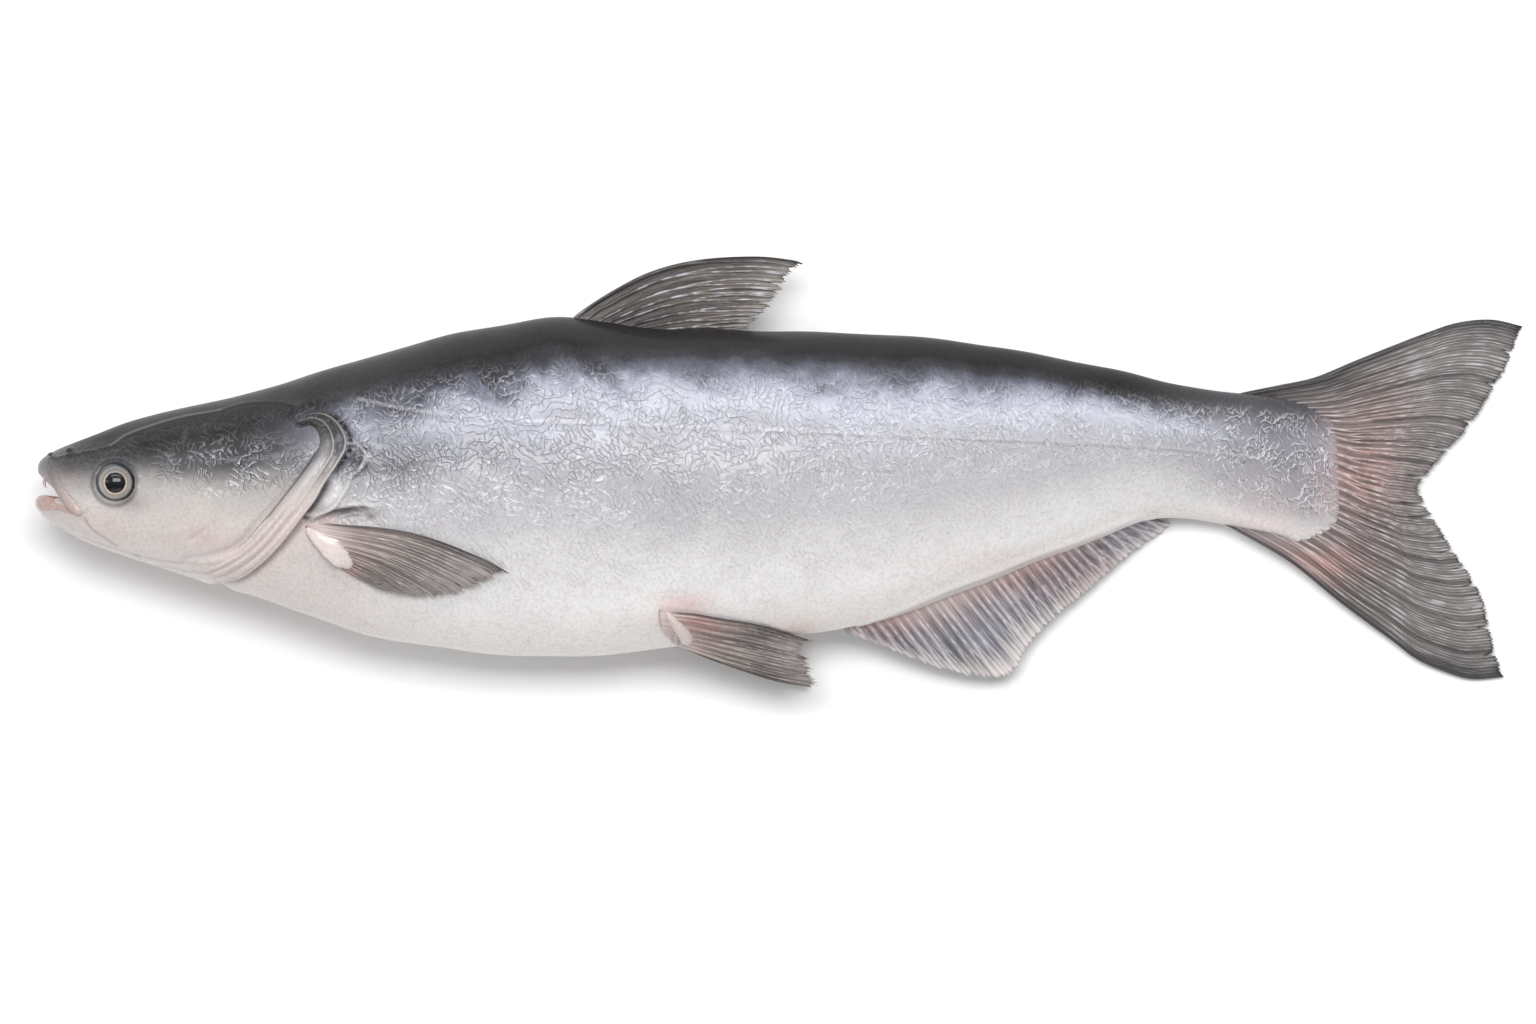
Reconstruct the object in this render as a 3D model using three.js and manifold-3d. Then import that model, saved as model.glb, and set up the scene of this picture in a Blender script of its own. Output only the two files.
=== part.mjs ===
// A whole raw striped catfish, lying on its right side on a flat surface with its left flank up.
// Units are millimetres. +X runs from the head to the tail, +Y towards the back, and +Z up, out of the
// left flank. Outlines are drawn from the snout, x = 0, and the finished group is moved so that its
// origin is the middle of its base.
import * as THREE from "three";
import { mergeVertices } from "three/addons/utils/BufferGeometryUtils.js";
import Module from "manifold-3d";

const wasm = await Module();
wasm.setup();

// Driving dimensions
const LENGTH = 450; // snout to the upper tip of the tail fin
const FIT_GAP = 0.3; // clear space between neighbouring pieces
const COVER_THICKNESS = 1.6; // bone and skin of a gill cover
const EYE_RADIUS = 6.2;
const EYE_PROUD = 1.6; // how far the eyeball stands out of the head
const REACH = 80; // half the size of a block that has to pass right through the fish

const SKIN_BACK = 0x5b5a5c;
const SKIN_PALE = 0xd9d6d6;
const FIN_GREY = 0x8a827f;
const FIN_PINK = 0xb39c98;
const EYE_DARK = 0x1c1f22;

// A smooth curve through [x, value] points, as a function of x.
function through(points) {
  const last = points.length - 1;
  const slope = points.map((p, i) => {
    const before = points[Math.max(i - 1, 0)];
    const after = points[Math.min(i + 1, last)];
    return (after[1] - before[1]) / (after[0] - before[0]);
  });
  return (x) => {
    if (x <= points[0][0]) return points[0][1];
    if (x >= points[last][0]) return points[last][1];
    const i = points.findIndex((p) => p[0] > x) - 1;
    const [x0, y0] = points[i];
    const [x1, y1] = points[i + 1];
    const width = x1 - x0;
    const t = (x - x0) / width;
    const rise = y1 - y0;
    const a = slope[i] * width - rise;
    const b = rise - slope[i + 1] * width;
    return y0 + t * rise + t * (1 - t) * (a * (1 - t) + b * t);
  };
}

// Outlines of the trunk and head, without fins
const back = through([
  [0, -1], [1, 2.4], [3.5, 5.5], [11, 8.5], [25.5, 14], [49.5, 20.5], [74, 26], [98, 33.5], [122, 40.5],
  [146, 45], [166, 46.2], [184, 44], [216, 42.5], [255, 41.5], [291, 37.5], [328, 30.5], [352, 24.7],
  [372, 22.5], [388, 20], [395, 12],
]);
const belly = through([
  [0, -11], [1, -12.3], [3.5, -15], [11, -19], [25.5, -25], [49.5, -33], [74, -40.5], [98, -49], [122, -53.5],
  [146, -56], [182, -54.5], [206, -51.5], [242, -48], [266, -42], [298, -29.5], [321, -20.5], [336, -15.2],
  [350, -14.4], [368, -17.5], [386, -20], [395, -13],
]);
const halfWidth = through([
  [0, 5], [1, 7], [3.5, 10], [8, 13.5], [16, 17.5], [25, 20.5], [40, 24], [60, 27.3], [80, 29.6], [100, 30.5],
  [150, 30], [180, 29], [210, 27.5], [240, 25], [270, 21.5], [300, 17.5], [330, 13], [350, 10], [370, 7.3],
  [386, 5], [395, 3],
]);
// How high the widest line of the flank runs
const widestLine = through([
  [0, -5], [25, -6], [60, -3], [100, 0], [150, 0], [200, 0], [250, 2], [300, 7], [340, 8], [380, 1], [395, 0],
]);
// How high the backbone lies above the surface. The head is stiff, and the tail droops.
const backbone = through([
  [0, 27.5], [50, 28], [100, 28.7], [150, 28.2], [180, 27.3], [210, 25.9], [240, 23.5], [270, 20.1],
  [300, 16.2], [330, 11.9], [350, 9], [370, 6.6], [395, 4.6], [450, 3],
]);

const BACK_ROUNDNESS = 1.85; // 2 is an ellipse, and less is a keener ridge
const BELLY_ROUNDNESS = 2.05;

// Half the thickness of the trunk at a place seen from the side
function halfThickness(x, y) {
  const middle = widestLine(x);
  const above = y > middle;
  const reach = above ? back(x) - middle : middle - belly(x);
  const roundness = above ? BACK_ROUNDNESS : BELLY_ROUNDNESS;
  const share = Math.min(Math.abs(y - middle) / reach, 1);
  return halfWidth(x) * (1 - share ** roundness) ** (1 / roundness);
}

// Solids from three.js geometry, and back
function solidOf(geometry) {
  const bare = new THREE.BufferGeometry().setAttribute("position", geometry.getAttribute("position"));
  const merged = mergeVertices(bare.setIndex(geometry.index), 1e-3);
  const triVerts = new Uint32Array(merged.index.array);
  const vertProperties = merged.attributes.position.array;
  const made = new wasm.Manifold(new wasm.Mesh({ numProp: 3, vertProperties, triVerts }));
  if (made.volume() > 0) return made;
  const turned = triVerts.map((_, i) => triVerts[i - (i % 3) + [0, 2, 1][i % 3]]);
  return new wasm.Manifold(new wasm.Mesh({ numProp: 3, vertProperties, triVerts: turned }));
}

function geometryOf(solid) {
  const { vertProperties, numProp, triVerts } = solid.getMesh();
  const position = new Float32Array((vertProperties.length / numProp) * 3);
  for (let i = 0; i * 3 < position.length; i++) {
    position.set(vertProperties.subarray(i * numProp, i * numProp + 3), i * 3);
  }
  const geometry = new THREE.BufferGeometry().setAttribute("position", new THREE.BufferAttribute(position, 3));
  geometry.setIndex(new THREE.BufferAttribute(triVerts, 1));
  geometry.computeVertexNormals();
  return geometry;
}

function reshape(geometry, place) {
  const position = geometry.getAttribute("position");
  const from = new THREE.Vector3();
  for (let i = 0; i < position.count; i++) {
    const to = place(from.fromBufferAttribute(position, i));
    position.setXYZ(i, to.x, to.y, to.z);
  }
  return geometry;
}

function extruded(outline, from, to) {
  const shape = new THREE.Shape(outline.map(([x, y]) => new THREE.Vector2(x, y)));
  const geometry = new THREE.ExtrudeGeometry(shape, { depth: to - from, bevelEnabled: false });
  return solidOf(geometry.translate(0, 0, from));
}

// Trunk and head: a cylinder whose rings become cross-sections. They are close together at the snout.
const STATIONS = 44;
const AROUND = 36;
const TRUNK_END = 395;
const SNOUT_CROWDING = 1.5; // 1 spaces the rings evenly

function trunk(grow) {
  const geometry = new THREE.CylinderGeometry(1, 1, 1, AROUND, STATIONS);
  return solidOf(
    reshape(geometry, (v) => {
      const share = 0.5 - v.y;
      const x = TRUNK_END * share ** SNOUT_CROWDING;
      const outward = x + grow * (2 * share - 1);
      const middle = widestLine(x);
      const above = v.x > 0;
      const reach = above ? back(x) - middle + grow : middle - belly(x) + grow;
      const power = 2 / (above ? BACK_ROUNDNESS : BELLY_ROUNDNESS);
      const y = middle + Math.sign(v.x) * reach * Math.abs(v.x) ** power;
      const z = backbone(x) + Math.sign(v.z) * (halfWidth(x) + grow) * Math.abs(v.z) ** power;
      return new THREE.Vector3(outward, y, z);
    }),
  );
}

// The flesh settles on the surface it lies on, so everything under z = 0 is pressed flat.
const belowTable = solidOf(new THREE.BoxGeometry(3 * LENGTH, 4 * REACH, REACH).translate(0, 0, -REACH / 2));

// The mouth stands a little open. Its corner is a short way back from the lips.
const mouthGap = extruded(
  [[-3, 0.4], [1, -0.4], [3.4, -3.6], [6, -6], [9, -7.9], [5.5, -8.9], [2.5, -8.8], [-3, -8.2]],
  -REACH,
  REACH,
);

// Gill covers: plates set flush into the sides of the head, free along the rear
const COVER_OUTLINE = [
  [74, 17.5], [82.5, 17.3], [87.5, 16.4], [91.5, 14.3], [94, 11.2], [94.6, 8], [92, 3.3], [88.5, -2.2],
  [83, -11], [80, -14.7], [75.3, -17], [72.3, -20.5], [67.5, -27], [62, -33], [54, -31.5], [50.5, -25],
  [52, -15], [57.5, -4], [65, 7],
];
function coverOutline(grow) {
  const centre = new THREE.Vector2(74, -4);
  return COVER_OUTLINE.map(([x, y]) => {
    const arm = new THREE.Vector2(x, y).sub(centre);
    return arm.setLength(arm.length() + grow).add(centre).toArray();
  });
}

// Which side of the head: the left flank is up, the right one down
const LEFT = 1;
const RIGHT = -1;
const COVER_SPLIT = 28.3; // height of the backbone behind the eyes

function coverBlock(side, grow) {
  return side === LEFT
    ? extruded(coverOutline(grow), COVER_SPLIT, COVER_SPLIT + REACH)
    : extruded(coverOutline(grow), COVER_SPLIT - REACH, COVER_SPLIT);
}

function gillCover(side) {
  const outer = trunk(0).subtract(belowTable);
  return outer.intersect(coverBlock(side, 0)).subtract(trunk(-COVER_THICKNESS));
}

function coverSeat(side) {
  return coverBlock(side, FIT_GAP).subtract(trunk(-COVER_THICKNESS - FIT_GAP));
}

// Eyes: balls that stand a little proud of the head
const EYE_AT = [24.5, -3.5];
function eyeball(side, grow) {
  const [x, y] = EYE_AT;
  const depth = halfThickness(x, y) + EYE_PROUD - EYE_RADIUS;
  const ball = new THREE.SphereGeometry(EYE_RADIUS + grow, 20, 12).rotateX(Math.PI / 2);
  return solidOf(ball.translate(x, y, backbone(x) + side * depth));
}

// Fins: a thin sheet between the line of its root and its outer edge, thicker at the root.
// The root and the edge run the same way, and each ray joins the same share of both.
function fin({ root, edge, across, along, rootThickness, edgeThickness, height }) {
  const rootLine = new THREE.SplineCurve(root.map(([x, y]) => new THREE.Vector2(x, y)));
  const edgeLine = new THREE.SplineCurve(edge.map(([x, y]) => new THREE.Vector2(x, y)));
  const sheet = new THREE.BoxGeometry(1, 1, 1, across, along, 1);
  return solidOf(
    reshape(sheet, (v) => {
      const ray = v.x + 0.5;
      const out = v.y + 0.5;
      const at = rootLine.getPoint(ray).lerp(edgeLine.getPoint(ray), out);
      const thickness = THREE.MathUtils.lerp(rootThickness, edgeThickness, out ** 0.6);
      const middle = Math.max(height(at.x, at.y, out), thickness / 2);
      return new THREE.Vector3(at.x, at.y, middle + Math.sign(v.z) * (thickness / 2));
    }),
  );
}

const skinWithGap = trunk(FIT_GAP);
const DORSAL_LEAN = 0.12; // fall per millimetre out from the back
const TAIL_DROOP = 0.03; // fall per millimetre out from the flesh
const ANAL_DROOP = 9; // fall of the outer edge

const dorsalFin = fin({
  root: [[166, 44], [176, 41.5], [188, 39.5], [202, 38.5], [216, 38.5]],
  edge: [
    [165, 50], [182.5, 57.5], [198.5, 63], [215, 65], [228, 64.3], [232, 63], [226, 55], [222, 50], [217, 44],
  ],
  across: 16,
  along: 6,
  rootThickness: 5,
  edgeThickness: 1,
  height: (x, y) => backbone(x) - DORSAL_LEAN * (y - back(x)),
});

const tailFin = fin({
  root: [[366, -10], [378, -14], [388, -14], [391, -8], [392, 0], [391, 8], [388, 15], [379, 18], [368, 17]],
  edge: [
    [360, -17.5], [387, -34.5], [418, -57], [434, -63], [444.5, -62], [439, -40], [429, -22], [420, -7],
    [419.5, -4], [431, 9.5], [441, 24], [450.3, 43.5], [441, 46], [422, 42.5], [387, 28.5], [366, 23.2],
  ],
  across: 36,
  along: 8,
  rootThickness: 6,
  edgeThickness: 0.9,
  height: (x) => backbone(x) - TAIL_DROOP * (x - TRUNK_END),
});

const analFin = fin({
  root: [[246, -44], [266, -37], [290, -27], [312, -19], [334, -11]],
  edge: [
    [243, -48.6], [256, -53], [270, -59], [284, -63], [296, -62.5], [302, -51.5], [317.5, -37.5], [332.5, -25],
    [343, -16.6],
  ],
  across: 18,
  along: 6,
  rootThickness: 4,
  edgeThickness: 0.9,
  height: (x, y, out) => backbone(x) - ANAL_DROOP * out * out,
});

// A paired fin lies along its own flank and stands off it towards its tip.
const pectoralRoot = [[82, -13], [80, -17], [82, -22], [87, -28]];
const pectoralEdge = {
  left: [
    [92, -15.5], [108, -17.6], [124.5, -21.5], [138, -27], [143.5, -31], [138.5, -33.5], [127.5, -37.5],
    [117, -38.5], [104, -36.4], [92, -30.5],
  ],
  right: [
    [92, -19], [108, -24], [124, -31], [136, -39], [140, -44], [134, -45.5], [122, -47], [111, -45.5],
    [99, -40.5], [89, -33],
  ],
};
const pelvicRoot = [[192, -38], [186, -41], [186, -46], [192, -50]];
const pelvicEdge = {
  left: [
    [199.5, -42.6], [214, -45.3], [227, -48.8], [236, -51.6], [234, -56], [237, -64.5], [229, -64.8],
    [214.5, -60], [203, -56.2], [195, -53],
  ],
  right: [
    [199.5, -44], [214, -47.5], [226, -51.5], [233, -55], [232, -59], [233, -65], [226, -64.5], [214, -61.2],
    [203, -57], [195, -53.8],
  ],
};

const flank = (side, x, y) => backbone(x) + side * halfThickness(x, y);

const pectoralFin = (side) =>
  fin({
    root: pectoralRoot,
    edge: side === LEFT ? pectoralEdge.left : pectoralEdge.right,
    across: 14,
    along: 8,
    rootThickness: 3.2,
    edgeThickness: 0.9,
    height: (x, y, out) => (side === LEFT ? flank(LEFT, x, y) + 0.5 + 2 * out : 0.5),
  });

const pelvicFin = (side) =>
  fin({
    root: pelvicRoot,
    edge: side === LEFT ? pelvicEdge.left : pelvicEdge.right,
    across: 14,
    along: 7,
    rootThickness: 3,
    edgeThickness: 0.9,
    height: (x, y, out) => THREE.MathUtils.lerp(flank(side, 192, -44), side === LEFT ? 26 : 4, out),
  });

// The trunk gives up the room that the eyes, gill covers and mouth take.
let body = trunk(0).subtract(belowTable).subtract(mouthGap);
for (const side of [LEFT, RIGHT]) {
  body = body.subtract(coverSeat(side)).subtract(eyeball(side, FIT_GAP));
}

const trimmed = (solid) => solid.subtract(skinWithGap).subtract(belowTable);

const fish = new THREE.Group();
function piece(name, solid, color, roughness = 0.4) {
  const mesh = new THREE.Mesh(
    geometryOf(solid),
    new THREE.MeshStandardMaterial({ color, roughness, metalness: 0 }),
  );
  mesh.name = name;
  fish.add(mesh);
}

piece("body", body, SKIN_PALE);
piece("left_gill_cover", gillCover(LEFT), SKIN_BACK);
piece("right_gill_cover", gillCover(RIGHT), SKIN_BACK);
piece("left_eye", eyeball(LEFT, 0), EYE_DARK, 0.1);
piece("right_eye", eyeball(RIGHT, 0), EYE_DARK, 0.1);
piece("dorsal_fin", trimmed(dorsalFin), FIN_GREY);
piece("tail_fin", trimmed(tailFin), FIN_GREY);
piece("anal_fin", trimmed(analFin), FIN_PINK);
piece("left_pectoral_fin", trimmed(pectoralFin(LEFT)), FIN_GREY);
piece("right_pectoral_fin", trimmed(pectoralFin(RIGHT)), FIN_GREY);
piece("left_pelvic_fin", trimmed(pelvicFin(LEFT)), FIN_PINK);
piece("right_pelvic_fin", trimmed(pelvicFin(RIGHT)), FIN_PINK);

fish.position.x = -LENGTH / 2;

export default fish;
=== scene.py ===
import functools
import math

import bpy
import numpy as np
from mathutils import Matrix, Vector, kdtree


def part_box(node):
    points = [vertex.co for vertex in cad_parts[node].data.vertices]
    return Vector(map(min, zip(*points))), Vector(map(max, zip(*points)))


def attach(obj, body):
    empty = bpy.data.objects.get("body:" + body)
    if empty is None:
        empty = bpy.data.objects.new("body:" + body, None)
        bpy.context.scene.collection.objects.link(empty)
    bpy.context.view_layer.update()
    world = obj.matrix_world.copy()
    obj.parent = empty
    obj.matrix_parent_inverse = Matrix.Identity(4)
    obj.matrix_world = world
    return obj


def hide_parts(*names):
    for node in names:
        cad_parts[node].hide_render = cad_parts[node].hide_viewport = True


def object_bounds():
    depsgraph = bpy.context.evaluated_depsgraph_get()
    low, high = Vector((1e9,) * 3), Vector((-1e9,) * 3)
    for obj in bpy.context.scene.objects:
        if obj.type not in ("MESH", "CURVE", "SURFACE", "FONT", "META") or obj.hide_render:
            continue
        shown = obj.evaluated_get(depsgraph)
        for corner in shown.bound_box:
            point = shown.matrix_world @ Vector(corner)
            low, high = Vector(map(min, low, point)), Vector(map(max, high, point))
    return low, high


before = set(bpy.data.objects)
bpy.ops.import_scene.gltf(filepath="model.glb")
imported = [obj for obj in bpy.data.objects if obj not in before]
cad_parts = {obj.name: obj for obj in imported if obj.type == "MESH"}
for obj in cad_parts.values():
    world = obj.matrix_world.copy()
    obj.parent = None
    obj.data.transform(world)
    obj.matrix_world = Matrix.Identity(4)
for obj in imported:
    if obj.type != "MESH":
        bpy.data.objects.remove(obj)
cad_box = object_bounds()
bpy.ops.object.select_all(action="DESELECT")


# Body: head, trunk and the fleshy root of the tail, in one skin without scales. It is drawn in
# millimetres from the snout, x to the tail and y to the back, with z up from the surface it lies on.
# The lips are a rim from which the skin runs back over the head and, the other way, into the mouth.
MM = 0.001
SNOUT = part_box("body")[0][0]
TRUNK_END = (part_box("body")[1][0] - SNOUT) / MM
LEFT, RIGHT = 1, -1  # the left flank is up
SIDES = {LEFT: "left_", RIGHT: "right_"}


def placed(points):
    """Points in millimetres from the snout, as places in the frame."""
    out = np.array(points, float) * MM
    out[..., 0] += SNOUT
    return out


def through(points):
    """A smooth curve through (x, value) points, as a function of x."""
    xs, ys = np.array(points, float).T
    slopes = np.gradient(ys, xs)

    def curve(x):
        i = np.clip(np.searchsorted(xs, x) - 1, 0, len(xs) - 2)
        width = xs[i + 1] - xs[i]
        t = np.clip((x - xs[i]) / width, 0, 1)
        rise = ys[i + 1] - ys[i]
        a = slopes[i] * width - rise
        b = rise - slopes[i + 1] * width
        return ys[i] + t * rise + t * (1 - t) * (a * (1 - t) + b * t)

    return curve


def smooth_line(points, steps=8):
    """A finer line of points along a smooth curve through the given ones."""
    points = np.array(points, float)
    share = np.arange(len(points), dtype=float)
    fine = np.linspace(0, len(points) - 1, steps * (len(points) - 1) + 1)
    return np.stack([through(list(zip(share, column)))(fine) for column in points.T], axis=-1)


def along(points, share):
    """Places on the smooth curve through points, by share of its length."""
    line = smooth_line(points, 16)
    gone = np.concatenate([[0], np.cumsum(np.linalg.norm(np.diff(line, axis=0), axis=1))])
    return np.stack([np.interp(share * gone[-1], gone, column) for column in line.T], axis=-1)


def ease(low, high, value):
    """0 below low, 1 above high, and a smooth step between."""
    t = np.clip((value - low) / (high - low), 0, 1)
    return t * t * (3 - 2 * t)


def distance(x, y, points):
    """How far places on the side view are from the smooth line through points."""
    line = smooth_line(points)
    nearest = np.full(np.shape(x), np.inf)
    for (ax, ay), (bx, by) in zip(line[:-1], line[1:]):
        dx, dy = bx - ax, by - ay
        t = np.clip(((x - ax) * dx + (y - ay) * dy) / (dx * dx + dy * dy), 0, 1)
        nearest = np.minimum(nearest, np.hypot(x - ax - t * dx, y - ay - t * dy))
    return nearest


def bell(value, width):
    """1 at 0, falling off to nothing over about twice the width."""
    return np.exp(-((value / width) ** 2))


def traced(x, y, lines):
    """Soft lines on the side view: each has its points, width and strength."""
    return sum(strength * bell(distance(x, y, points), width) for points, width, strength in lines)


def moved(points, across, up):
    return [(x + across, y + up) for x, y in points]


def spots(x, y, table):
    """Soft patches on the side view: each has its place, reach along, reach up and strength."""
    return sum(
        strength * np.exp(-(((x - at[0]) / reach) ** 2) - ((y - at[1]) / up) ** 2)
        for at, reach, up, strength in table
    )


back = through([
    (20, 11.8), (25.5, 14), (37.5, 17.5), (49.5, 20.5), (61.5, 23), (74, 26), (86, 30), (98, 33.7),
    (110, 37.4), (122, 40.6), (134, 43), (146, 45), (158, 46.4), (170, 45.6), (184, 43.6), (216, 42.5),
    (255, 41.5), (291, 37.5), (328, 30.5), (352, 24.9), (366, 23.5), (380, 22.3), (389, 21), (395, 20),
])
belly = through([
    (20, -23.3), (25.5, -25.2), (49.5, -33), (74, -40.5), (98, -49), (122, -53.5), (146, -56),
    (182, -54.5), (206, -51.5), (242, -48), (266, -42), (298, -29.5), (321, -20.5), (336, -15.2),
    (350, -14.6), (366, -17.4), (380, -20), (389, -21.8), (395, -21),
])
half_width = through([
    (20, 18.7), (25, 20.5), (40, 24), (60, 27.3), (80, 29.6), (100, 30.5), (150, 30), (180, 29),
    (210, 27.5), (240, 25), (270, 21.5), (300, 17.5), (330, 13), (350, 10), (370, 6.4), (382, 3.4),
    (390, 1.5), (395, 0.45),
])
widest_line = through([
    (20, -9), (30, -7), (45, -4.5), (60, -3), (100, 0), (150, 0), (200, 0), (250, 2), (300, 7),
    (340, 8), (380, 1), (395, 0),
])
backbone = through([
    (0, 27.5), (50, 28), (100, 28.7), (150, 28.2), (180, 27.3), (210, 25.9), (240, 23.5), (270, 20.1),
    (300, 16.2), (330, 11.9), (350, 9), (370, 6.6), (395, 4.6), (450, 3),
])
BACK_ROUNDNESS, BELLY_ROUNDNESS, ROOT_ROUNDNESS = 1.85, 2.05, 4.5
TAIL_BOW = 4.5  # how far the middle of the tail's fleshy root reaches past its corners


def roundness(x, above):
    """The power of the rounded cross-section: fuller towards the flat root of the tail."""
    trunk = np.where(above, BACK_ROUNDNESS, BELLY_ROUNDNESS)
    return trunk + (ROOT_ROUNDNESS - trunk) * ease(345, 385, x)


def section(x, angle):
    """The skin at x from the snout, at an angle round from the back, by way of the left flank."""
    up, out = np.cos(angle), np.sin(angle)
    power = 2 / roundness(x, up > 0)
    reach = np.where(up > 0, back(x) - widest_line(x), widest_line(x) - belly(x))
    y = widest_line(x) + np.sign(up) * reach * np.abs(up) ** power
    z = backbone(x) + np.sign(out) * half_width(x) * np.abs(out) ** power
    bowed = x - TAIL_BOW * ease(368, 395, x) * (y / back(395)) ** 6
    return np.stack([bowed, y, z], axis=-1)


# The rims of the lips from the middle of the snout to the corner of the mouth: x, y, and out sideways
UPPER_RIM = [(0.5, 0.8, 0), (0.9, -0.6, 4), (2.4, -2.2, 8), (5.2, -4.8, 11), (8.2, -7.4, 13),
    (11.5, -10.4, 14.6), (14.5, -12.9, 15.8)]
LOWER_RIM = [(0.2, -9.6, 0), (0.6, -8.9, 4), (2.4, -8.4, 8), (5.2, -8.6, 10.8), (8.2, -8.0, 12.8),
    (11.5, -10.8, 14.4), (14.5, -13.1, 15.8)]
MOUTH_DEPTH = (17, -9.6)
HEAD_START = 20  # where the rounded snout passes into the head's own cross-sections
LIP_FULLNESS = 4.6


def rim(angle):
    """The lips' rim at an angle round from the back."""
    turn = np.abs((angle + math.pi) % (2 * math.pi) - math.pi)
    side = np.where((angle % (2 * math.pi)) < math.pi, LEFT, RIGHT)
    quarter = np.minimum(turn, math.pi - turn) / (math.pi / 2)
    upper = along(UPPER_RIM, quarter)
    lower = along(LOWER_RIM, quarter)
    out = np.where((turn < math.pi / 2)[..., None], upper, lower)
    out[..., 2] = backbone(out[..., 0]) + side * out[..., 2]
    return out


def snout(share, angle):
    """From the rim, share 0, over the lips and the snout to the head's first section, share 1."""
    start = rim(angle)
    end = section(np.full(np.shape(angle), float(HEAD_START)), angle)
    step = 0.5
    slope = (section(np.full(np.shape(angle), HEAD_START + step), angle) - end) / step
    room = (HEAD_START - start[..., 0])[..., None]
    outward = np.stack([-0.05 + 0 * angle, np.cos(angle), np.sin(angle)], axis=-1)
    a = start + outward * LIP_FULLNESS * (0.3 + 0.7 * room / HEAD_START)
    b = end - slope * room * 0.52
    t = share
    return (1 - t) ** 3 * start + 3 * (1 - t) ** 2 * t * a + 3 * (1 - t) * t * t * b + t**3 * end


def mouth_lining(share, angle):
    """From the deepest point of the mouth, share 0, out to the rim, share 1."""
    deepest = np.array([MOUTH_DEPTH[0], MOUTH_DEPTH[1], backbone(MOUTH_DEPTH[0])])
    return deepest + (rim(angle) - deepest) * share**0.7


# Columns of the mesh from the mouth's depth to the tail, and rows round it, closest on the left flank
IN_MOUTH, IN_SNOUT, IN_HEAD, IN_TRUNK, IN_ROOT = 12, 56, 160, 150, 20
ROWS = 250
FLANK_CROWDING = 0.52
HEAD_END, ROOT_START = 100, 380


def body_points():
    turn = np.arange(ROWS) / ROWS
    turn = turn + FLANK_CROWDING * np.sin(2 * math.pi * turn) / (2 * math.pi)
    angle = (turn * 2 - 0.5) * math.pi
    rings = [mouth_lining(s, angle) for s in np.arange(IN_MOUTH) / IN_MOUTH]
    rings += [snout(s, angle) for s in np.arange(IN_SNOUT) / IN_SNOUT]
    stations = np.concatenate([
        np.arange(IN_HEAD) / IN_HEAD * (HEAD_END - HEAD_START) + HEAD_START,
        np.arange(IN_TRUNK) / IN_TRUNK * (ROOT_START - HEAD_END) + HEAD_END,
        np.arange(IN_ROOT) / (IN_ROOT - 1) * (TRUNK_END - ROOT_START) + ROOT_START,
    ])
    rings += [section(np.full(ROWS, x), angle) for x in stations]
    middle = rings[-1].mean(axis=0)
    rings.append(np.repeat(middle[None], ROWS, axis=0))
    return np.array(rings)


def outward_of(points):
    """Unit normals of a closed tube of points, rings by rows."""
    round_it = np.roll(points, -1, axis=1) - np.roll(points, 1, axis=1)
    down_it = np.gradient(points, axis=0)
    normal = np.cross(round_it, down_it)
    length = np.linalg.norm(normal, axis=-1, keepdims=True)
    return normal / np.maximum(length, 1e-9)


EYE = (24.5, -3.5)
EYE_RADIUS = 6.2
NOSTRILS = [((10.5, 5.7), 1.2), ((4.7, 4.6), 0.8)]
HEAD_RIDGE = [(5, 3.8), (13.6, 5.3), (22.9, 7.3), (27.8, 10.6), (35.2, 13.4), (45, 16.4), (56.2, 18.4),
    (63, 20.2), (73.2, 20.6), (80, 19.4)]
JAW_CREASE = [(15, -14.5), (16.7, -17.2), (20.4, -20), (24.7, -22.7)]
JAW_EDGE = [(6.2, -16.8), (13.6, -20), (22.9, -23.1), (31.5, -25.7)]
CHEEK_EDGE = [(56.2, -3), (56.5, -9.2), (53.7, -16), (46.3, -20.9)]
COVER_GROOVE = [(91.2, 9), (86.2, 5.4), (77, -5), (68.7, -14.4), (61.1, -22.8), (53.4, -25.8),
    (45, -27)]
COVER_EDGE = [(80, 15.4), (85.2, 17.6), (90.3, 16.1), (94, 11.4), (94.3, 7.1), (91.6, 2), (87.8, -3.7),
    (84.9, -8.8), (81, -14), (75, -21.5), (68.7, -27.9), (62.3, -32.3), (56, -33.8)]
SHOULDER_EDGE = [(94.2, 9), (98, 8), (100, 4.6), (98.4, 0.4), (95.8, -1.4), (94.2, -5.5), (90.3, -11),
    (84, -14.4)]
AXIL_FOLD = [(82, -13.4), (86, -12.6), (91, -11), (97, -10), (101.5, -10.2), (102, -13)]
LATERAL_LINE = [(98, 21), (110, 18.5), (140, 15), (183, 13.5), (219, 11.8), (279, 9.5), (334, 7),
    (372, 3), (391, -2)]


ANAL_CREASE = [(249, -46.4), (262, -41.6), (280, -34.2), (306, -24), (332.6, -14.1)]
RELIEF_LINES = [  # line, width, height in millimetres
    (HEAD_RIDGE, 0.5, 0.3), (JAW_CREASE, 0.5, -0.45), (JAW_EDGE, 0.6, -0.35), (CHEEK_EDGE, 0.7, -0.3),
    (COVER_GROOVE, 1.1, -1), (COVER_EDGE, 2, -1.9), (SHOULDER_EDGE, 0.6, 0.9),
    (moved(SHOULDER_EDGE, 1.4, -0.4), 0.8, -0.7), (AXIL_FOLD, 1.1, 0.9),
    (moved(AXIL_FOLD, 0, -2.6), 0.8, -0.8), (ANAL_CREASE, 0.9, 0.5),
]
SWELLINGS = [((90, -23), 10, 7, 2.2), ((192, -45), 12, 6, 1.2), ((50, -12), 16, 9, 0.8)]
SOCKET_DEPTH, NOSTRIL_DEPTH = 5.5, 1.1


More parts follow.
